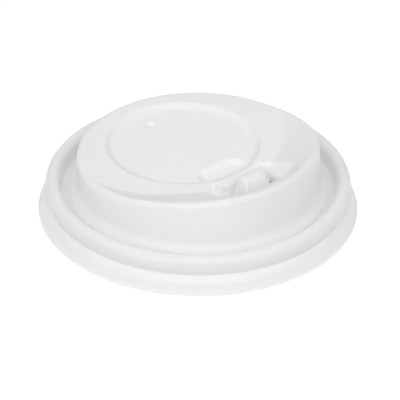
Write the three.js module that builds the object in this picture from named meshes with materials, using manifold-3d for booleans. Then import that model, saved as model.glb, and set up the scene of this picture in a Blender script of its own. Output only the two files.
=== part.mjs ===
// Travel lid for a hot-drink cup, thermoformed from one white plastic sheet.
// Millimetres, +Z up. The origin is the middle of the ring the lid stands on.
// The drinking side points to -Y; "u" below is the distance towards it (u = -Y) and "v" is +X.
import * as THREE from "three";
import { mergeVertices } from "three/addons/utils/BufferGeometryUtils.js";
import Module from "manifold-3d";

// ---- driving dimensions -------------------------------------------------
const SHEET = 0.4; // thickness of the formed sheet
const SEGMENTS = 64; // flats round the lid

const R_EDGE = 47.3; // outer radius of the rolled-out bottom edge
const EDGE_LAND = 0.7; // width of the flat ring the lid stands on
const R_GROOVE = 44.2; // snap groove between skirt and bead
const Z_GROOVE = 4.85;
const R_BEAD = 44.9; // outside of the bead that takes the cup's rolled rim
const Z_BEAD = 10.4; // top of the bead
const BEAD_ROUND = 2.1; // its crown radius
const R_CHANNEL = 39.6; // middle of the channel inside the bead
const Z_CHANNEL = 5.0;
const R_CREASE = 37.1; // crease where the dome wall starts
const Z_CREASE = 6.9;
const R_WALL = 35.5; // the dome wall at WALL_LEVEL, leaning in by WALL_TAPER for each mm of height
const WALL_LEVEL = 16.0;
const WALL_TAPER = 0.03;
const WALL_FLARE = 1.3; // its foot sweeps out by this much
const FLARE_HEIGHT = 3.2; // over about this height
const Z_DECK = 17.9; // flat deck
const CREST_RISE = 5.2; // the rim crest stands this far above the deck on the drinking side
const CREST_ROUND = 1.5; // rounding of the crest and of the deck's edge

const DISC_U = -7.0; // round sunk disc, centred behind the lid's axis
const DISC_R_TOP = 22.9;
const DISC_R_FLOOR = 20.6;
const DISC_DEPTH = 1.4;

const PILL_U = 10.8; // pill-shaped lock pocket that takes the folded-back tab
const PILL_HALF_WIDTH = 3.7;
const PILL_HALF_LENGTH = 8.2;
const PILL_DEPTH = 2.0;

const TAB_V = 0; // middle of the tab across the lid
const RECESS_DROP = 0.8; // floor of the tab recess below the deck
const RECESS_U0 = 16.9,
  RECESS_U1 = 28.2; // from the hinge step to the foot of the crest
const RECESS_V0 = 12.0,
  RECESS_V1 = 9.2; // half widths of its floor at those two places
const PIT_FLOOR = 14.3; // the tab's own well
const PIT_U0 = 18.1,
  PIT_U1 = 28.5,
  PIT_V = 8.1;
const LIP_WIDTH = 1.0,
  LIP_HEIGHT = 0.9; // raised lip round the well
const PLUG_TOP = 21.3; // hollow plug on the tab
const PLUG_U = 23.1; // its middle
const SLOT_U0 = 22.2,
  SLOT_U1 = 27.0,
  SLOT_V0 = 5.9,
  SLOT_V1 = 7.9,
  SLOT_TOP = 16.6; // drinking slots at the plug's two ends
const VENT_U = -22.3,
  VENT_R = 1.3,
  VENT_HOLE_R = 0.45; // air vent in the disc

// ---- small helpers ------------------------------------------------------
const wasm = await Module();
wasm.setup();

function toSolid(geometry) {
  const g = geometry.clone();
  for (const name of Object.keys(g.attributes))
    if (name !== "position") g.deleteAttribute(name);
  const m = mergeVertices(g, 1e-4);
  const vertProperties = new Float32Array(m.attributes.position.array);
  const triVerts = new Uint32Array(m.index.array);
  let s = new wasm.Manifold(
    new wasm.Mesh({ numProp: 3, vertProperties, triVerts }),
  );
  if (s.volume() < 0) {
    for (let i = 0; i < triVerts.length; i += 3)
      [triVerts[i + 1], triVerts[i + 2]] = [triVerts[i + 2], triVerts[i + 1]];
    s = new wasm.Manifold(
      new wasm.Mesh({ numProp: 3, vertProperties, triVerts }),
    );
  }
  return s;
}

// A body of revolution about Z from [r, z] points that start and end on the axis.
function turned(points, segments = SEGMENTS) {
  const g = new THREE.LatheGeometry(
    points.map(([r, z]) => new THREE.Vector2(Math.max(r, 0), z)),
    segments,
  );
  g.rotateX(Math.PI / 2);
  g.deleteAttribute("normal");
  g.deleteAttribute("uv");
  const m = mergeVertices(g, 1e-4);
  // the fans at the axis leave empty triangles, which are dropped
  const idx = [];
  const a = m.index.array;
  for (let i = 0; i < a.length; i += 3)
    if (a[i] !== a[i + 1] && a[i + 1] !== a[i + 2] && a[i] !== a[i + 2])
      idx.push(a[i], a[i + 1], a[i + 2]);
  m.setIndex(idx);
  return toSolid(m);
}

// A closed body through stacked rings, each a list of [u, v, z] with the same number of points.
function lofted(rings) {
  const n = rings[0].length;
  const pos = [];
  for (const ring of rings) for (const [u, v, z] of ring) pos.push(v, -u, z);
  const idx = [];
  for (let k = 0; k + 1 < rings.length; k++)
    for (let i = 0; i < n; i++) {
      const j = (i + 1) % n,
        a = k * n + i,
        b = k * n + j,
        c = a + n,
        d = b + n;
      idx.push(a, b, d, a, d, c);
    }
  const flat = (ring) => ring.map(([u, v]) => new THREE.Vector2(v, -u));
  const cap = (k, flip) => {
    for (const [a, b, c] of THREE.ShapeUtils.triangulateShape(
      flat(rings[k]),
      [],
    ))
      flip
        ? idx.push(k * n + a, k * n + c, k * n + b)
        : idx.push(k * n + a, k * n + b, k * n + c);
  };
  // the bottom cap faces down and the top cap up, whichever way the rings run
  const area = THREE.ShapeUtils.area(flat(rings[0]));
  cap(0, area > 0);
  cap(rings.length - 1, area < 0);
  if (area < 0) {
    const sides = (rings.length - 1) * n * 6;
    for (let i = 0; i < sides; i += 3)
      [idx[i + 1], idx[i + 2]] = [idx[i + 2], idx[i + 1]];
  }
  const g = new THREE.BufferGeometry();
  g.setAttribute("position", new THREE.Float32BufferAttribute(pos, 3));
  g.setIndex(idx);
  return toSolid(g);
}

const circle = (u, v, r, z, n) =>
  Array.from({ length: n }, (_, i) => {
    const t = (2 * Math.PI * i) / n;
    return [u + r * Math.cos(t), v + r * Math.sin(t), z];
  });

// A stadium whose long axis lies across the lid.
function stadium(u, v, halfWidth, halfLength, z, n = 8) {
  const out = [];
  const s = halfLength - halfWidth;
  for (let i = 0; i <= n; i++) {
    const t = (Math.PI * i) / n;
    out.push([u + halfWidth * Math.cos(t), v + s + halfWidth * Math.sin(t), z]);
  }
  for (let i = 0; i <= n; i++) {
    const t = Math.PI + (Math.PI * i) / n;
    out.push([u + halfWidth * Math.cos(t), v - s + halfWidth * Math.sin(t), z]);
  }
  return out;
}

// The outline moved inwards by d, mitred at its corners; [r, z] points run from the bottom edge up to the axis.
function inset(points, d) {
  return points.map((p, i) => {
    const a = points[Math.max(i - 1, 0)],
      b = points[Math.min(i + 1, points.length - 1)];
    const dir = (s, e) => {
      const l = Math.hypot(e[0] - s[0], e[1] - s[1]) || 1;
      return [(e[0] - s[0]) / l, (e[1] - s[1]) / l];
    };
    const d1 = i ? dir(a, p) : dir(p, b),
      d2 = i < points.length - 1 ? dir(p, b) : dir(a, p);
    const n1 = [-d1[1], d1[0]],
      n2 = [-d2[1], d2[0]];
    const m = [n1[0] + n2[0], n1[1] + n2[1]];
    const k = (2 * d) / (m[0] * m[0] + m[1] * m[1]);
    return [p[0] + m[0] * k, p[1] + m[1] * k];
  });
}

// Smooth curve through [x, y] pairs.
function table(pairs) {
  return (x) => {
    if (x <= pairs[0][0]) return pairs[0][1];
    if (x >= pairs[pairs.length - 1][0]) return pairs[pairs.length - 1][1];
    let i = 0;
    while (x > pairs[i + 1][0]) i++;
    const p = (k) => pairs[Math.min(Math.max(k, 0), pairs.length - 1)];
    const slope = (k) =>
      k <= 0 || k >= pairs.length - 1
        ? 0
        : (p(k + 1)[1] - p(k - 1)[1]) / (p(k + 1)[0] - p(k - 1)[0]);
    const h = p(i + 1)[0] - p(i)[0],
      t = (x - p(i)[0]) / h;
    return (
      (2 * t ** 3 - 3 * t ** 2 + 1) * p(i)[1] +
      (t ** 3 - 2 * t ** 2 + t) * h * slope(i) +
      (-2 * t ** 3 + 3 * t ** 2) * p(i + 1)[1] +
      (t ** 3 - t ** 2) * h * slope(i + 1)
    );
  };
}

// ---- profile of the outside, from the edge up to the dome wall ----------
const wallR = (z) =>
  R_WALL -
  WALL_TAPER * (z - WALL_LEVEL) +
  WALL_FLARE * Math.exp(-(z - Z_CREASE) / FLARE_HEIGHT);
const arc = (cr, cz, r, from, to, n) =>
  Array.from({ length: n + 1 }, (_, i) => {
    const t = ((from + ((to - from) * i) / n) * Math.PI) / 180;
    return [cr + r * Math.cos(t), cz + r * Math.sin(t)];
  });
const Z_BODY_TOP = Z_DECK + CREST_RISE + 0.5;
const outside = [
  [R_EDGE, 0],
  [R_EDGE, 0.4],
  [R_EDGE - 0.6, 0.6],
  [R_EDGE - 0.85, 1.6],
  [R_EDGE - 1.15, 3.0],
  [R_EDGE - 1.6, 4.1],
  [R_GROOVE + 0.9, Z_GROOVE - 0.65],
  [R_GROOVE, Z_GROOVE],
  [R_GROOVE + 0.4, Z_GROOVE + 1.2],
  ...arc(R_BEAD - BEAD_ROUND, Z_BEAD - BEAD_ROUND, BEAD_ROUND, 0, 180, 6),
  [R_BEAD - 2 * BEAD_ROUND, 7.2],
  [R_CHANNEL + 0.65, Z_CHANNEL + 0.5],
  [R_CHANNEL, Z_CHANNEL],
  [R_CHANNEL - 0.7, Z_CHANNEL + 0.3],
  [R_CREASE + 0.7, Z_CREASE - 0.4],
  [R_CREASE + 0.1, Z_CREASE],
  [wallR(7.9), 7.9],
  [wallR(9.4), 9.4],
  [wallR(11.8), 11.8],
  [wallR(Z_BODY_TOP), Z_BODY_TOP],
];
const outer = turned([[0, 0], ...outside, [0, Z_BODY_TOP]]);

// The underside follows one sheet thickness in, open at the bottom.
const under = inset(outside, SHEET);
under[0] = [R_EDGE - EDGE_LAND, -1];
under[1] = [R_EDGE - EDGE_LAND, 0.25];
under[2] = [R_EDGE - 0.6 - SHEET - 0.02, 0.7];
const lastR = wallR(Z_BODY_TOP) - SHEET;
under[under.length - 1] = [lastR, Z_BODY_TOP];
const inner = turned([[0, -1], ...under, [0, Z_BODY_TOP]]);

// ---- deck, inner slope and crest ----------------------------------------
// a is the angle away from the drinking side, in degrees.
const crestRise = table([
  [0, 1],
  [20, 0.975],
  [30, 0.92],
  [41, 0.845],
  [53, 0.71],
  [66, 0.525],
  [79, 0.305],
  [90, 0.157],
  [97, 0.06],
  [105, 0],
  [180, 0],
]);
const slopeStart = table([
  [0, 21.5],
  [30, 21.7],
  [41, 22.3],
  [53, 23.7],
  [66, 26.3],
  [75, 28.2],
  [84, 30.2],
  [95, 32.5],
  [106, 33.7],
  [180, 33.7],
]);

// Everything above the top surface, lowered by d.
function above(d) {
  const rows = [];
  const R_OUT = 60;
  for (let i = 0; i < SEGMENTS; i++) {
    const t = (2 * Math.PI * i) / SEGMENTS; // 0 at the drinking side, towards +v
    const a = Math.min(t, 2 * Math.PI - t) * (180 / Math.PI);
    const zc = Z_DECK + CREST_RISE * Math.max(0, crestRise(a));
    const cr = wallR(zc - CREST_ROUND) - CREST_ROUND,
      cz = zc - CREST_ROUND;
    const rb = Math.min(slopeStart(a), cr - 0.2);
    const pts = [];
    pts.push([rb, Z_DECK]);
    // slope, eased into the crest
    const w = cr - rb;
    for (const s of [0.35, 0.78, 0.93])
      pts.push([
        rb + w * s,
        Z_DECK + (zc - Z_DECK) * (s < 0.8 ? s * 1.06 : s * 0.985 + 0.012),
      ]);
    for (const deg of [90, 62, 36, 10])
      pts.push([
        cr + CREST_ROUND * Math.cos((deg * Math.PI) / 180),
        cz + CREST_ROUND * Math.sin((deg * Math.PI) / 180),
      ]);
    const last = pts[pts.length - 1];
    pts.push([R_OUT, last[1]]);
    rows.push(pts.map(([r, z]) => [r * Math.cos(t), r * Math.sin(t), z - d]));
  }
  const n = SEGMENTS,
    m = rows[0].length;
  const pos = [0, 0, Z_DECK - d];
  const idx = [];
  for (let k = 0; k < m; k++)
    for (let i = 0; i < n; i++) {
      const [u, v, z] = rows[i][k];
      pos.push(v, -u, z);
    }
  const at = (k, i) => 1 + k * n + (i % n);
  const put = (a, b, c) => idx.push(a, b, c);
  for (let i = 0; i < n; i++) put(0, at(0, i), at(0, i + 1));
  for (let k = 0; k + 1 < m; k++)
    for (let i = 0; i < n; i++) {
      put(at(k, i), at(k + 1, i), at(k + 1, i + 1));
      put(at(k, i), at(k + 1, i + 1), at(k, i + 1));
    }
  const top = pos.length / 3;
  for (let i = 0; i < n; i++) {
    const t = (2 * Math.PI * i) / n;
    pos.push(R_OUT * Math.sin(t), -R_OUT * Math.cos(t), 40);
  }
  pos.push(0, 0, 40);
  const mid = top + n;
  for (let i = 0; i < n; i++) {
    const j = (i + 1) % n;
    put(at(m - 1, i), top + i, top + j);
    put(at(m - 1, i), top + j, at(m - 1, i + 1));
    put(mid, top + j, top + i);
  }
  const g = new THREE.BufferGeometry();
  g.setAttribute("position", new THREE.Float32BufferAttribute(pos, 3));
  g.setIndex(idx);
  return toSolid(g);
}

// ---- pockets, each lowered and widened by d for the underside -----------
function discPocket(d) {
  const run = (DISC_R_TOP - DISC_R_FLOOR) / DISC_DEPTH;
  const grow = d * Math.hypot(1, run); // the cone moved out by d, at constant height
  const floor = Z_DECK - DISC_DEPTH;
  const r = (z) => DISC_R_FLOOR + (z - floor) * run + grow;
  const top = Z_DECK + 0.2;
  return lofted([
    circle(DISC_U, 0, r(floor - d), floor - d, 64),
    circle(DISC_U, 0, r(top), top, 64),
  ]);
}

function pillPocket(d) {
  const floor = Z_DECK - DISC_DEPTH;
  const s = (w, z) =>
    stadium(
      PILL_U,
      0,
      PILL_HALF_WIDTH + w,
      PILL_HALF_LENGTH + w,
      z,
    );
  return lofted([
    s(-1.9 + 0.4 * d, floor - PILL_DEPTH - d),
    s(-1.0 + 0.6 * d, floor - PILL_DEPTH + 0.5 - d * 0.6),
    s(0.0 + d * 0.9, floor),
    s(1.0 + d, floor + 1.6),
  ]);
}

function recessPocket(d) {
  const z0 = Z_DECK - RECESS_DROP;
  const ring = (h, z) => {
    const u0 = RECESS_U0 - 0.5 * h - d * 0.8,
      u1 = RECESS_U1 + 0.42 * h + d * 0.9;
    const v0 = RECESS_V0 + h + d * 1.3,
      v1 = RECESS_V1 + h + d * 1.3;
    return [
      [u0, TAB_V - v0 + 1.2, z],
      [u0 + 1.2, TAB_V - v0, z],
      [u1 - 1, TAB_V - v1, z],
      [u1, TAB_V - v1 + 1.2, z],
      [u1 + 0.35, TAB_V, z],
      [u1, TAB_V + v1 - 1.2, z],
      [u1 - 1, TAB_V + v1, z],
      [u0 + 1.2, TAB_V + v0, z],
      [u0, TAB_V + v0 - 1.2, z],
    ];
  };
  return lofted([ring(-d, z0 - d), ring(7, z0 + 7)]);
}

function pitPocket(d) {
  const z0 = Z_DECK - RECESS_DROP;
  const ring = (k, z) => {
    const u0 = PIT_U0 - k,
      u1 = PIT_U1 + k * 0.6,
      w = PIT_V + k,
      c = 1.5;
    return [
      [u0, TAB_V - w + c, z],
      [u0 + c, TAB_V - w, z],
      [u1 - c, TAB_V - w, z],
      [u1, TAB_V - w + c, z],
      [u1, TAB_V + w - c, z],
      [u1 - c, TAB_V + w, z],
      [u0 + c, TAB_V + w, z],
      [u0, TAB_V + w - c, z],
    ];
  };
  return lofted([
    ring(-1.0 + d, PIT_FLOOR - d),
    ring(0 + d * 1.0, z0),
    ring(0.05 + d, z0 + LIP_HEIGHT + 0.6),
  ]);
}

// Raised lip round three sides of the well.
function lipBars() {
  const z0 = Z_DECK - RECESS_DROP;
  const bar = (ua, ub, va, vb, h) => {
    const k = 0.28;
    const ring = (e, z) => [
      [ua + e, va + e, z],
      [ub - e, va + e, z],
      [ub - e, vb - e, z],
      [ua + e, vb - e, z],
    ];
    return lofted([ring(0, z0 - 0.2), ring(0, z0 + h - 0.25), ring(k, z0 + h)]);
  };
  const w = LIP_WIDTH;
  return [
    bar(
      PIT_U0 + 0.3,
      PIT_U1 - 2.4,
      TAB_V - PIT_V - w,
      TAB_V - PIT_V + 0.4,
      LIP_HEIGHT,
    ),
    bar(
      PIT_U0 + 0.3,
      PIT_U1 - 2.4,
      TAB_V + PIT_V - 0.4,
      TAB_V + PIT_V + w,
      LIP_HEIGHT,
    ),
    bar(
      PIT_U0 - 0.75,
      PIT_U0 + 0.4,
      TAB_V - PIT_V + 1.2,
      TAB_V + PIT_V - 1.2,
      LIP_HEIGHT - 0.2,
    ),
  ];
}

// Hollow plug on the tab; d shrinks it to its inside.
function plug(d) {
  const ring = (u0, u1, v, c, z) => [
    [u0, TAB_V - v + c, z],
    [u0 + c, TAB_V - v, z],
    [u1 - c, TAB_V - v, z],
    [u1, TAB_V - v + c, z],
    [u1, TAB_V + v - c, z],
    [u1 - c, TAB_V + v, z],
    [u0 + c, TAB_V + v, z],
    [u0, TAB_V + v - c, z],
  ];
  const bottom = PIT_FLOOR - (d ? 1.2 : SHEET * 0.5);
  return lofted([
    ring(PLUG_U - 3.2 + d, PLUG_U + 4.6 - d, 5.6 - d, 1.5, bottom),
    ring(PLUG_U - 1.5 + d, PLUG_U + 1.8 - d, 3.95 - d, 0.8, PLUG_TOP - 0.5 - d * 0.8),
    ring(PLUG_U - 1.1 + d, PLUG_U + 1.2 - d, 3.4 - d, 0.6, PLUG_TOP - d),
  ]);
}

function through(u0, u1, v0, v1) {
  const ring = (z) => [
    [u0, v0, z],
    [u1, v0, z],
    [u1, v1, z],
    [u0, v1, z],
  ];
  return lofted([ring(PIT_FLOOR - 2.5), ring(SLOT_TOP)]);
}

// ---- the lid ------------------------------------------------------------
const z0 = Z_DECK - RECESS_DROP;
let shell = outer
  .subtract(above(0))
  .subtract(discPocket(0))
  .subtract(pillPocket(0))
  .subtract(recessPocket(0));
for (const bar of lipBars()) shell = shell.add(bar);
shell = shell.subtract(pitPocket(0)).add(plug(0));

const hollow = inner
  .subtract(above(SHEET))
  .subtract(discPocket(SHEET))
  .subtract(pillPocket(SHEET))
  .subtract(recessPocket(SHEET))
  .subtract(pitPocket(SHEET))
  .add(plug(SHEET));

let lid = shell.subtract(hollow);
// drinking slots
lid = lid.subtract(
  through(SLOT_U0, SLOT_U1, TAB_V + SLOT_V0, TAB_V + SLOT_V1),
);
lid = lid.subtract(
  through(SLOT_U0, SLOT_U1, TAB_V - SLOT_V1, TAB_V - SLOT_V0),
);
// vent: a small dimple with a hole through it
const ventZ = Z_DECK - DISC_DEPTH;
lid = lid.subtract(
  lofted([
    circle(VENT_U, 0, VENT_HOLE_R, ventZ - 1.5, 12),
    circle(VENT_U, 0, VENT_HOLE_R, ventZ - 0.22, 12),
    circle(VENT_U, 0, VENT_R, ventZ + 0.05, 12),
    circle(VENT_U, 0, VENT_R, ventZ + 0.5, 12),
  ]),
);
const bodies = lid.decompose();
bodies.sort((a, b) => b.volume() - a.volume());
lid = bodies[0];

const out = lid.getMesh();
const geometry = new THREE.BufferGeometry();
const xyz = new Float32Array(out.numVert * 3);
for (let i = 0; i < out.numVert; i++)
  xyz.set(out.vertProperties.subarray(i * out.numProp, i * out.numProp + 3), i * 3);
geometry.setAttribute("position", new THREE.BufferAttribute(xyz, 3));
geometry.setIndex(Array.from(out.triVerts));
geometry.computeVertexNormals();

const lidMesh = new THREE.Mesh(
  geometry,
  new THREE.MeshStandardMaterial({
    color: 0xf2f2f2,
    roughness: 0.32,
    metalness: 0,
  }),
);
lidMesh.name = "lid";

const group = new THREE.Group();
group.add(lidMesh);
export default group;
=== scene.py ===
# White travel lid for a hot-drink cup: the fine formed sheet, its plastic, and a plain studio.
import bpy, math
import numpy as np
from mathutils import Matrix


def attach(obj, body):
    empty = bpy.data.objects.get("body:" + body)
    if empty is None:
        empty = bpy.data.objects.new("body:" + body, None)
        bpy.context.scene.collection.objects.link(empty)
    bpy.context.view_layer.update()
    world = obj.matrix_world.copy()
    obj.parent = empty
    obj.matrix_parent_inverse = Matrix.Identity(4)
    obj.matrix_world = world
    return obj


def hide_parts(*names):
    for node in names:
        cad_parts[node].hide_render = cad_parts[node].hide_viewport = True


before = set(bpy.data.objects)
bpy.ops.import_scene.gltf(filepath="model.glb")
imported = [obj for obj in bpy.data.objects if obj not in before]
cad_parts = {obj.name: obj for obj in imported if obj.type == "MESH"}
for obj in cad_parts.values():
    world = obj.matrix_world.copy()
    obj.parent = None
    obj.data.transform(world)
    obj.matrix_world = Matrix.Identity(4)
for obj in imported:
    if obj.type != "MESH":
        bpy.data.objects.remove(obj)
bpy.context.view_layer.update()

# ---------------------------------------------------------------- dimensions, in millimetres
SHEET = 0.4
R_EDGE, EDGE_LAND = 47.3, 0.7
R_GROOVE, Z_GROOVE = 44.2, 4.85
R_BEAD, Z_BEAD, BEAD_ROUND = 44.9, 10.4, 2.1
R_CHANNEL, Z_CHANNEL = 39.6, 5.0
R_CREASE, Z_CREASE, WALL_TAPER = 37.1, 6.9, 0.055
Z_DECK, CREST_RISE, CREST_ROUND = 17.9, 5.2, 1.5
DISC_U, DISC_R, DISC_DEPTH = -7.0, 22.9, 1.4
TAB = 0.6                           # the tab's features sit this much further out than their figures below
PILL_U, PILL_HW, PILL_HL, PILL_DEPTH = 10.8, 3.9, 8.4, 1.65
Z_FLOOR = 17.1                      # floor of the tab recess
PIT_FLOOR, PIT_U0, PIT_U1, PIT_V = 14.3, 17.5, 27.9, 8.1
PLUG_TOP = 21.3
SLOT_U0, SLOT_U1, SLOT_V0, SLOT_V1, SLOT_TOP = 22.2, 27.0, 5.9, 7.9, 16.6
VENT_U, VENT_R, VENT_HOLE_R = -22.3, 1.6, 0.4
DECK_SLOPE_BLEND = 0.22


def curve_table(pairs):
    """Smooth curve through (x, y) pairs, flat at both ends."""
    xs = np.array([p[0] for p in pairs], float)
    ys = np.array([p[1] for p in pairs], float)
    m = np.zeros_like(ys)
    m[1:-1] = (ys[2:] - ys[:-2]) / (xs[2:] - xs[:-2])

    def f(x):
        x = np.clip(np.asarray(x, float), xs[0], xs[-1])
        i = np.clip(np.searchsorted(xs, x, side="right") - 1, 0, len(xs) - 2)
        h = xs[i + 1] - xs[i]
        t = (x - xs[i]) / h
        return ((2 * t**3 - 3 * t**2 + 1) * ys[i] + (t**3 - 2 * t**2 + t) * h * m[i]
                + (-2 * t**3 + 3 * t**2) * ys[i + 1] + (t**3 - t**2) * h * m[i + 1])
    return f


crest_rise = curve_table([(0, 1), (20, .975), (30, .92), (41, .845), (53, .71), (66, .525), (79, .305), (90, .157),
                          (97, .06), (105, 0), (180, 0)])
slope_start = curve_table([(0, 21.5), (30, 21.7), (41, 22.3), (53, 23.7), (66, 26.3), (75, 28.2), (84, 30.2),
                           (95, 32.5), (108, 33.7), (180, 33.7)])


def wall_r(z):
    z = np.asarray(z, float)
    foot = np.clip(10.8 - z, 0, 4.2)
    return 35.58 - 0.055 * (z - 16.0) + 6.4 - np.sqrt(6.4**2 - foot**2)


def crest(adeg):
    """Height of the crest, and the centre of its rounding, at an angle from the drinking side."""
    zc = Z_DECK + CREST_RISE * np.maximum(0, crest_rise(np.abs(adeg)))
    cz = zc - CREST_ROUND
    lean = math.atan(WALL_TAPER)
    cr = wall_r(cz) - CREST_ROUND * math.cos(lean) - WALL_TAPER * CREST_ROUND * math.sin(lean)
    return zc, cr, cz


def smin(a, b, k):
    h = np.maximum(k - np.abs(a - b), 0) / k
    return np.minimum(a, b) - h * h * k / 4


def smax(a, b, k):
    return -smin(-a, -b, k)


def pocket(x, depth, width, power, edge=0.1):
    """Depth at distance x inside an outline: steepest at the edge, running out flat."""
    xs = 0.5 * (x + np.sqrt(x * x + edge * edge))
    t = np.clip(xs / width, 0, 1)
    return depth * (1 - (1 - t) ** power)


def inside_poly(u, v, poly):
    """Signed distance to a convex outline, positive outside."""
    d = np.full(np.shape(u), -1e9)
    n = len(poly)
    for i in range(n):
        (ax, ay), (bx, by) = poly[i], poly[(i + 1) % n]
        ex, ey = bx - ax, by - ay
        l = math.hypot(ex, ey)
        d = np.maximum(d, ((u - ax) * ey - (v - ay) * ex) / l)
    return d


def top(u, v):
    """Height of the outer surface inside the crest."""
    r = np.hypot(u, v)
    a = np.degrees(np.arctan2(v, u))
    zc, cr, cz = crest(a)
    rb = np.minimum(slope_start(np.abs(a)), cr - 0.9)
    re, ze = cr - 0.6, zc - 0.12
    m = (ze - Z_DECK) / np.maximum(re - rb, 0.3)
    ramp = Z_DECK + (r - rb) * np.maximum(m, 0)
    circle = cz + np.sqrt(np.maximum(CREST_ROUND**2 - np.clip(cr - r, 0, CREST_ROUND) ** 2, 0))
    near = np.clip((r - (cr - CREST_ROUND)) / 0.4, 0, 1)
    capped = np.where(near > 0, np.minimum(ramp, np.where(near >= 1, circle, 1e9)), ramp)
    z = smax(np.full_like(r, Z_DECK), capped, DECK_SLOPE_BLEND)
    z = np.where(zc > Z_DECK + 0.02, z, Z_DECK)
    # round sunk disc
    d = DISC_R - np.hypot(u - DISC_U, v)
    z = z - np.where(d > -1, pocket(d, DISC_DEPTH, 2.6, 2.2), 0)
    # vent dimple
    dv = np.hypot(u - VENT_U, v)
    z = z - 0.9 * np.clip(1 - (dv / VENT_R) ** 2, 0, 1) ** 0.8
    # lock pocket
    s = PILL_HL - PILL_HW
    dp = PILL_HW - np.hypot(u - PILL_U, np.maximum(np.abs(v) - s, 0))
    near = 1 - 0.62 * np.clip((u - PILL_U) / PILL_HW, -1, 1)      # steep at the back, gentle towards the hinge
    zp = np.where(dp > 0, Z_DECK - DISC_DEPTH - near * pocket(dp, PILL_DEPTH, 3.9, 1.75, 0.02), Z_DECK - DISC_DEPTH - dp * 0.95)
    z = smin(z, zp, 0.3)
    # tab recess: floor, 45 degree cheeks, and the steep foot of the crest
    u = u - TAB
    av = np.abs(v)
    vmax = np.interp(u, [14.0, 14.9, 16.4, 17.9, 23.6, 27.6, 31.0], [7.0, 8.2, 9.8, 11.6, 9.9, 8.8, 7.8])
    e1 = (av - vmax) * 0.82
    e2 = (16.3 - u) * 0.85
    e3 = (u + 0.53 * np.maximum(av - 8.2, 0) - 27.6) * (2.3 - 0.9 * np.clip((av - 8.2) / 3, 0, 1))
    zr = Z_FLOOR + np.sqrt(np.maximum(e1, 0) ** 2 + np.maximum(e2, 0) ** 2 + np.maximum(e3, 0) ** 2)
    z = smin(z, zr, 0.25)
    # raised ribs: along the hinge, and down both sides of the well
    def rib(along, lo, hi, across, half, height):
        dd = np.sqrt(np.maximum(np.maximum(lo - along, along - hi), 0) ** 2 + across**2)
        return Z_FLOOR + height * np.clip((half + 0.45 - dd) / 0.45, -3, 1)
    z = smax(z, rib(v, -7.4, 7.4, u - 16.7, 0.12, 0.7), 0.18)
    z = smax(z, rib(u, 17.4, 25.8, av - (PIT_V + 0.4), 0.2, 1.0), 0.18)
    # well of the tab
    c = 1.5
    k = 1.0
    poly = [(PIT_U0 + k, -PIT_V + k + c), (PIT_U0 + k + c, -PIT_V + k), (PIT_U1 - k - c, -PIT_V + k), (PIT_U1 - k, -PIT_V + k + c),
            (PIT_U1 - k, PIT_V - k - c), (PIT_U1 - k - c, PIT_V - k), (PIT_U0 + k + c, PIT_V - k), (PIT_U0 + k, PIT_V - k - c)]
    dpit = inside_poly(u, v, poly)
    zpit = PIT_FLOOR + np.maximum(dpit, 0) * 3.3
    z = smin(z, zpit, 0.35)
    # hollow plug
    f = smin(smin(3.9 * (u - 19.4), 1.75 * (27.75 - u), 0.5), 3.3 * (5.6 - av), 1.6)
    ch = 3.3 * (((5.6 - av) + (u - 19.4)) / math.sqrt(2) - 0.75)
    f = smin(f, ch, 0.8)
    zplug = smin(PIT_FLOOR + f, np.full_like(r, PLUG_TOP), 2.0)
    z = smax(z, zplug, 0.3)
    return z


# ---------------------------------------------------------------- the sheet
def angles(n):
    """Angles round the lid, closer together at the tab."""
    t = np.linspace(-180, 180, 7201)
    w = 1 + 1.5 * np.exp(-((t / 34.0) ** 2))
    c = np.concatenate([[0], np.cumsum((w[1:] + w[:-1]) / 2)])
    c /= c[-1]
    return np.interp(np.arange(n) / n, c, t)


def arc(cr, cz, r, a0, a1, n):
    t = np.radians(np.linspace(a0, a1, n + 1))
    return [(cr + r * math.cos(x), cz + r * math.sin(x)) for x in t]


def smooth_profile(points, radius, steps=4):
    """Rounds the corners of an open (r, z) line; radius gives one value a point, 0 keeps the corner."""
    out = [points[0]]
    for i in range(1, len(points) - 1):
        p, a, b, rad = np.array(points[i]), np.array(points[i - 1]), np.array(points[i + 1]), radius[i]
        if rad <= 0:
            out.append(tuple(p))
            continue
        ua, ub = a - p, b - p
        la, lb = np.linalg.norm(ua), np.linalg.norm(ub)
        ua, ub = ua / la, ub / lb
        cosang = np.clip(ua @ ub, -1, 1)
        half = math.acos(cosang) / 2
        t = min(rad / math.tan(half), 0.49 * la, 0.49 * lb)
        q0, q1 = p + ua * t, p + ub * t
        for s in np.linspace(0, 1, steps + 1):
            out.append(tuple((1 - s) ** 2 * q0 + 2 * s * (1 - s) * p + s * s * q1))
    out.append(points[-1])
    return out


def resample(points, longest):
    out = [points[0]]
    for a, b in zip(points, points[1:]):
        n = max(1, int(math.ceil(math.hypot(b[0] - a[0], b[1] - a[1]) / longest)))
        for k in range(1, n + 1):
            out.append((a[0] + (b[0] - a[0]) * k / n, a[1] + (b[1] - a[1]) * k / n))
    return out


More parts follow.
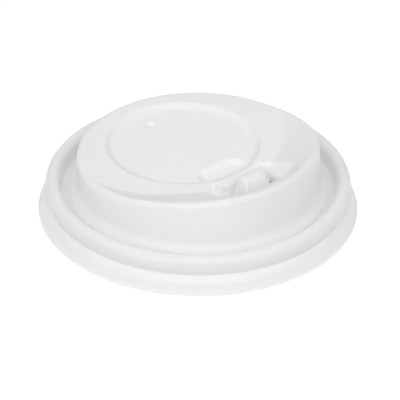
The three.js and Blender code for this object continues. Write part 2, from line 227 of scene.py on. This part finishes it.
def outer_profile():
    """The outside from the foot of the dome wall to the bottom edge."""
    br = R_BEAD - BEAD_ROUND
    bz = Z_BEAD - BEAD_ROUND
    head = [(float(wall_r(z)), z) for z in (12.0, 11.2, 10.4, 9.6, 8.9, 8.3, 7.8, 7.4)]
    head += [(R_CREASE + 0.15, Z_CREASE), (R_CREASE + 0.7, Z_CREASE - 0.35), (R_CHANNEL - 0.7, Z_CHANNEL + 0.3), (R_CHANNEL, Z_CHANNEL),
             (R_CHANNEL + 0.8, Z_CHANNEL + 0.5), (br - BEAD_ROUND, bz - 0.6)]
    head = smooth_profile(head, [0] * 8 + [0.2, 0.4, 0.5, 0.6, 0.7, 0], 4)
    body = arc(br, bz, BEAD_ROUND, 178, 0, 16)
    under = [(R_BEAD - 0.75 + 0.75 * math.cos(t), bz - 2.85 * math.sin(t)) for t in np.radians([12, 25, 38, 50, 62, 74])]
    tail = [under[-1], (R_GROOVE - 0.02, Z_GROOVE), (R_GROOVE + 0.95, Z_GROOVE - 0.72),
            (R_EDGE - 1.35, 3.0), (R_EDGE - 0.95, 1.3), (R_EDGE - 0.55, 0.48), (R_EDGE - 0.02, 0.36), (R_EDGE, 0.1), (R_EDGE - 0.08, 0.0)]
    tail = under + smooth_profile(tail, [0, 0.1, 0.9, 2.0, 1.0, 0.25, 0.1, 0.1, 0], 3)[1:]
    return resample(head[1:], 0.9)[1:] + body + resample(tail, 1.0)


def offset_line(points, d):
    p = np.array(points)
    t = np.gradient(p, axis=0)
    t /= np.linalg.norm(t, axis=1)[:, None] + 1e-12
    n = np.stack([t[:, 1], -t[:, 0]], 1)     # the line runs down the outside, so this points into the sheet
    return [tuple(x) for x in p + n * d]


NA = 326
ang = angles(NA)
ca, sa = np.cos(np.radians(ang)), np.sin(np.radians(ang))
zc, cr, cz = crest(ang)


def radii(parts, r_last_fixed, n_last):
    """Rows from the middle out to the crest: fixed radii, then eased to the crest's own radius at each angle."""
    rows = [np.full(NA, r) for r in parts]
    for k in range(1, n_last + 1):
        rows.append(r_last_fixed + (cr - r_last_fixed) * k / n_last)
    return rows


def steps(lo, hi, step):
    n = int(round((hi - lo) / step))
    return [lo + (hi - lo) * (k + 1) / n for k in range(n)]


fine = [2.0, 4.0, 5.6] + steps(5.6, 15.0, 0.42) + steps(15.0, 29.0, 0.225) + steps(29.0, 31.3, 0.29)
coarse = [2.5, 5.0] + steps(5.0, 15.0, 1.0) + steps(15.0, 29.0, 0.5) + steps(29.0, 31.3, 0.77)
rows_top_out = radii(fine, 31.3, 5)
rows_top_in = radii(coarse, 31.3, 3)

verts, faces = [], []


def add_ring(x):
    start = sum(len(v) for v in verts)
    verts.append(x)
    return start


def ring_points(r, z):
    return np.stack([r * sa, -r * ca, z], 1)      # part frame: X = v, Y = -u


def bridge(a, b, flip):
    for i in range(NA):
        j = (i + 1) % NA
        faces.append((a + i, b + i, b + j, a + j) if not flip else (a + i, a + j, b + j, b + i))


# outer surface
centre_out = add_ring(np.array([[0, 0, float(top(np.array([0.0]), np.array([0.0]))[0])]]))
prev = None
quad_rows = []
for r in rows_top_out:
    cur = add_ring(ring_points(r, top(r * ca, r * sa)))
    if prev is None:
        for i in range(NA):
            faces.append((centre_out, cur + i, cur + (i + 1) % NA))
    else:
        bridge(prev, cur, False)
    prev = cur
lean = math.degrees(math.atan(WALL_TAPER))
for deg in np.linspace(90, lean, 9)[1:]:
    t = math.radians(deg)
    cur = add_ring(ring_points(cr + CREST_ROUND * math.cos(t), cz + CREST_ROUND * math.sin(t)))
    bridge(prev, cur, False)
    prev = cur
z_start = cz + CREST_ROUND * math.sin(math.radians(lean))
for s in np.linspace(0, 1, 7)[1:]:
    z = z_start + (12.0 - z_start) * s
    cur = add_ring(ring_points(wall_r(z), z))
    bridge(prev, cur, False)
    prev = cur
profile = outer_profile()
for (r, z) in profile:
    cur = add_ring(ring_points(np.full(NA, r), np.full(NA, z)))
    bridge(prev, cur, False)
    prev = cur
last_outer = prev

# underside, one sheet thickness in
def underside(u, v):
    e = 0.05
    gx = (top(u + e, v) - top(u - e, v)) / (2 * e)
    gy = (top(u, v + e) - top(u, v - e)) / (2 * e)
    g = np.minimum(np.hypot(gx, gy), 3.2)
    return top(u, v) - SHEET * np.sqrt(1 + g * g)


centre_in = add_ring(np.array([[0, 0, float(underside(np.array([0.0]), np.array([0.0]))[0])]]))
prev = None
for r in rows_top_in:
    rr = np.minimum(r, cr)
    cur = add_ring(ring_points(rr, underside(rr * ca, rr * sa)))
    if prev is None:
        for i in range(NA):
            faces.append((centre_in, cur + (i + 1) % NA, cur + i))
    else:
        bridge(prev, cur, True)
    prev = cur
ri = CREST_ROUND - SHEET
for deg in np.linspace(90, lean, 6)[1:]:
    t = math.radians(deg)
    cur = add_ring(ring_points(cr + ri * math.cos(t), cz + ri * math.sin(t)))
    bridge(prev, cur, True)
    prev = cur
zi = cz + ri * math.sin(math.radians(lean))
for s in np.linspace(0, 1, 4)[1:]:
    z = zi + (12.0 - zi) * s
    cur = add_ring(ring_points(wall_r(z) - SHEET, z))
    bridge(prev, cur, True)
    prev = cur
inner = offset_line(profile, SHEET)
inner = [p for k, p in enumerate(inner) if k % 2 == 0 and p[1] > 0.45]
inner += [(R_EDGE - EDGE_LAND - 0.02, 0.25), (R_EDGE - EDGE_LAND, 0.06), (R_EDGE - EDGE_LAND + 0.06, 0.0)]
for (r, z) in inner:
    cur = add_ring(ring_points(np.full(NA, r), np.full(NA, z)))
    bridge(prev, cur, True)
    prev = cur
bridge(prev, last_outer, True)

V = np.concatenate(verts)

mesh = bpy.data.meshes.new("lid_sheet")
mesh.from_pydata((V * 0.001).tolist(), [], faces)
mesh.update()
lid = bpy.data.objects.new("lid_sheet", mesh)
bpy.context.scene.collection.objects.link(lid)


# drinking slots beside the plug, and the vent hole
def prism(outline, z0, z1):
    n = len(outline)
    vs_ = [(x * 0.001, y * 0.001, z * 0.001) for z in (z0, z1) for x, y in outline]
    fs_ = [tuple(range(n - 1, -1, -1)), tuple(range(n, 2 * n))] + [(i, (i + 1) % n, n + (i + 1) % n, n + i) for i in range(n)]
    return vs_, fs_


def cut(obj, outline, z0, z1):
    vs_, fs_ = prism(outline, z0, z1)
    me = bpy.data.meshes.new("cutter")
    me.from_pydata(vs_, [], fs_)
    o = bpy.data.objects.new("cutter", me)
    bpy.context.scene.collection.objects.link(o)
    m = obj.modifiers.new("cut", "BOOLEAN")
    m.operation = "DIFFERENCE"
    m.solver = "EXACT"
    m.object = o
    dg = bpy.context.evaluated_depsgraph_get()
    new = bpy.data.meshes.new_from_object(obj.evaluated_get(dg))
    obj.modifiers.clear()
    obj.data = new
    bpy.data.objects.remove(o)


def rounded(u0, u1, v0, v1, r, n=4):
    pts = []
    for cu, cv, a0 in ((u1 - r, v1 - r, 0), (u0 + r, v1 - r, 90), (u0 + r, v0 + r, 180), (u1 - r, v0 + r, 270)):
        for k in range(n + 1):
            t = math.radians(a0 + 90 * k / n)
            pts.append((cu + r * math.cos(t), cv + r * math.sin(t)))
    return [(v, -u) for u, v in pts]


for side in (1, -1):
    v0, v1 = (SLOT_V0, SLOT_V1) if side > 0 else (-SLOT_V1, -SLOT_V0)
    cut(lid, rounded(SLOT_U0, SLOT_U1, v0, v1, 0.5), PIT_FLOOR - 2.5, SLOT_TOP)
cut(lid, [(VENT_HOLE_R * math.cos(t), -VENT_U + VENT_HOLE_R * math.sin(t)) for t in np.radians(range(0, 360, 24))], 14.0, 18.5)
mesh = lid.data
for p in mesh.polygons:
    p.use_smooth = True
print("TRIANGLES", sum(len(p.vertices) - 2 for p in mesh.polygons))

# ---------------------------------------------------------------- plastic
def plastic():
    m = bpy.data.materials.new("white_polystyrene")
    m.use_nodes = True
    nt = m.node_tree
    nt.nodes.clear()
    out = nt.nodes.new("ShaderNodeOutputMaterial")
    b = nt.nodes.new("ShaderNodeBsdfPrincipled")
    nt.links.new(b.outputs["BSDF"], out.inputs["Surface"])
    b.inputs["IOR"].default_value = 1.55
    b.inputs["Specular IOR Level"].default_value = 0.42
    b.inputs["Subsurface Weight"].default_value = 0.8
    b.inputs["Subsurface Radius"].default_value = (1.0, 1.0, 1.0)
    b.inputs["Subsurface Scale"].default_value = 0.0012
    tc = nt.nodes.new("ShaderNodeTexCoord")
    # slight cloudiness of the sheet
    n1 = nt.nodes.new("ShaderNodeTexNoise")
    n1.inputs["Scale"].default_value = 38.0
    n1.inputs["Detail"].default_value = 3.0
    nt.links.new(tc.outputs["Object"], n1.inputs["Vector"])
    ramp = nt.nodes.new("ShaderNodeMix")
    ramp.data_type = "RGBA"
    ramp.inputs["A"].default_value = (0.86, 0.86, 0.86, 1)
    ramp.inputs["B"].default_value = (0.88, 0.88, 0.88, 1)
    nt.links.new(n1.outputs["Fac"], ramp.inputs["Factor"])
    nt.links.new(ramp.outputs["Result"], b.inputs["Base Color"])
    # roughness: satin with faint variation
    n2 = nt.nodes.new("ShaderNodeTexNoise")
    n2.inputs["Scale"].default_value = 160.0
    n2.inputs["Detail"].default_value = 4.0
    nt.links.new(tc.outputs["Object"], n2.inputs["Vector"])
    mr = nt.nodes.new("ShaderNodeMapRange")
    mr.inputs["To Min"].default_value = 0.34
    mr.inputs["To Max"].default_value = 0.44
    nt.links.new(n2.outputs["Fac"], mr.inputs["Value"])
    nt.links.new(mr.outputs["Result"], b.inputs["Roughness"])
    # very fine orange peel of formed sheet
    n3 = nt.nodes.new("ShaderNodeTexNoise")
    n3.inputs["Scale"].default_value = 900.0
    n3.inputs["Detail"].default_value = 2.0
    nt.links.new(tc.outputs["Object"], n3.inputs["Vector"])
    bump = nt.nodes.new("ShaderNodeBump")
    bump.inputs["Strength"].default_value = 0.05
    bump.inputs["Distance"].default_value = 0.00005
    nt.links.new(n3.outputs["Fac"], bump.inputs["Height"])
    nt.links.new(bump.outputs["Normal"], b.inputs["Normal"])
    return m


lid.data.materials.append(plastic())
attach(lid, "root")
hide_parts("lid")

# ---------------------------------------------------------------- studio
def floor():
    s = 3.0
    me = bpy.data.meshes.new("floor")
    me.from_pydata([(-s, -s, -0.00002), (s, -s, -0.00002), (s, s, -0.00002), (-s, s, -0.00002)], [], [(0, 1, 2, 3)])
    o = bpy.data.objects.new("floor", me)
    bpy.context.scene.collection.objects.link(o)
    m = bpy.data.materials.new("floor")
    m.use_nodes = True
    nt = m.node_tree
    nt.nodes.clear()
    out = nt.nodes.new("ShaderNodeOutputMaterial")
    add = nt.nodes.new("ShaderNodeAddShader")
    em = nt.nodes.new("ShaderNodeEmission")
    em.inputs["Color"].default_value = (1, 1, 1, 1)
    em.inputs["Strength"].default_value = 0.86
    df = nt.nodes.new("ShaderNodeBsdfDiffuse")
    df.inputs["Color"].default_value = (0.25, 0.25, 0.25, 1)
    # painted shade: the floor's glow is turned down under the lid, where the lid would shade it
    tc = nt.nodes.new("ShaderNodeTexCoord")
    far = nt.nodes.new("ShaderNodeVectorMath")
    far.operation = "LENGTH"
    painted_shade = nt.nodes.new("ShaderNodeMapRange")
    painted_shade.inputs["From Min"].default_value = 0.043
    painted_shade.inputs["From Max"].default_value = 0.0445
    painted_shade.inputs["To Min"].default_value = 0.22
    painted_shade.inputs["To Max"].default_value = 0.86
    nt.links.new(tc.outputs["Object"], far.inputs[0])
    nt.links.new(far.outputs["Value"], painted_shade.inputs["Value"])
    nt.links.new(painted_shade.outputs["Result"], em.inputs["Strength"])
    nt.links.new(em.outputs[0], add.inputs[0])
    nt.links.new(df.outputs[0], add.inputs[1])
    nt.links.new(add.outputs[0], out.inputs["Surface"])
    me.materials.append(m)
    o.visible_diffuse = False       # the lid is lit from below by the world, which is darker than the white floor
    return o


floor()


def area(name, loc, target, size, power, size_y=None):
    l = bpy.data.lights.new(name, "AREA")
    l.energy = power
    l.shape = "RECTANGLE"
    l.size = size
    l.size_y = size_y or size
    o = bpy.data.objects.new(name, l)
    bpy.context.scene.collection.objects.link(o)
    o.location = loc
    d = np.array(target) - np.array(loc)
    import mathutils
    o.rotation_euler = mathutils.Vector(d).to_track_quat("-Z", "Y").to_euler()
    return o


world = bpy.data.worlds.new("studio")
bpy.context.scene.world = world
world.use_nodes = True
bg = world.node_tree.nodes["Background"] if "Background" in world.node_tree.nodes else world.node_tree.nodes.new("ShaderNodeBackground")
bg.inputs["Color"].default_value = (1, 1, 1, 1)
wt = world.node_tree
wc = wt.nodes.new("ShaderNodeTexCoord")
ws = wt.nodes.new("ShaderNodeSeparateXYZ")
wm = wt.nodes.new("ShaderNodeMapRange")
wm.inputs["To Min"].default_value = 0.36
wm.inputs["To Max"].default_value = 0.80
wt.links.new(wc.outputs["Generated"], ws.inputs["Vector"])
wt.links.new(ws.outputs["Z"], wm.inputs["Value"])
wb = wt.nodes.new("ShaderNodeMapRange")         # light returned from below the horizon
wb.inputs["From Min"].default_value = -0.02
wb.inputs["From Max"].default_value = 0.0
wb.inputs["To Min"].default_value = 0.44
wb.inputs["To Max"].default_value = 0.0
wt.links.new(ws.outputs["Z"], wb.inputs["Value"])
wa = wt.nodes.new("ShaderNodeMath")
wa.operation = "ADD"
wt.links.new(wm.outputs["Result"], wa.inputs[0])
wt.links.new(wb.outputs["Result"], wa.inputs[1])
wt.links.new(wa.outputs["Value"], bg.inputs["Strength"])

AZ, EL, DIST = math.radians(-40.8), math.radians(33.1), 0.560
back = np.array([math.sin(AZ) * math.cos(EL), -math.cos(AZ) * math.cos(EL), math.sin(EL)])
right = np.array([math.cos(AZ), math.sin(AZ), 0.0])


def at(rightward, toward, up):
    """A place given from the camera's side: to its right, towards it, and up."""
    fwd = np.array([math.sin(AZ), -math.cos(AZ), 0.0])
    return tuple(right * rightward + fwd * toward + np.array([0, 0, up]))


area("key", at(-0.05, 0.95, 0.80), (0, 0, 0.01), 2.2, 9.3, 1.0)

# ---------------------------------------------------------------- camera
F_PX = 1886.0
cam = bpy.data.cameras.new("cam")
cam.sensor_width = 36.0
cam.sensor_fit = "HORIZONTAL"
cam.lens = F_PX / 400.0 * 36.0
cam.clip_start = 0.01
cam.clip_end = 20
co = bpy.data.objects.new("cam", cam)
bpy.context.scene.collection.objects.link(co)
target = right * 0.00059 + np.array([0, 0, 0.00097])
co.location = tuple(target + back * DIST)
import mathutils
look = mathutils.Vector(tuple(-back)).to_track_quat("-Z", "Y")
tilt = mathutils.Quaternion((0, 0, 1), math.radians(0.66))      # the picture leans a little clockwise
co.rotation_euler = (look @ tilt).to_euler()
bpy.context.scene.camera = co

vs = bpy.context.scene.view_settings
vs.view_transform = "Standard"
vs.look = "None"
vs.exposure = 0.0
vs.gamma = 1.0
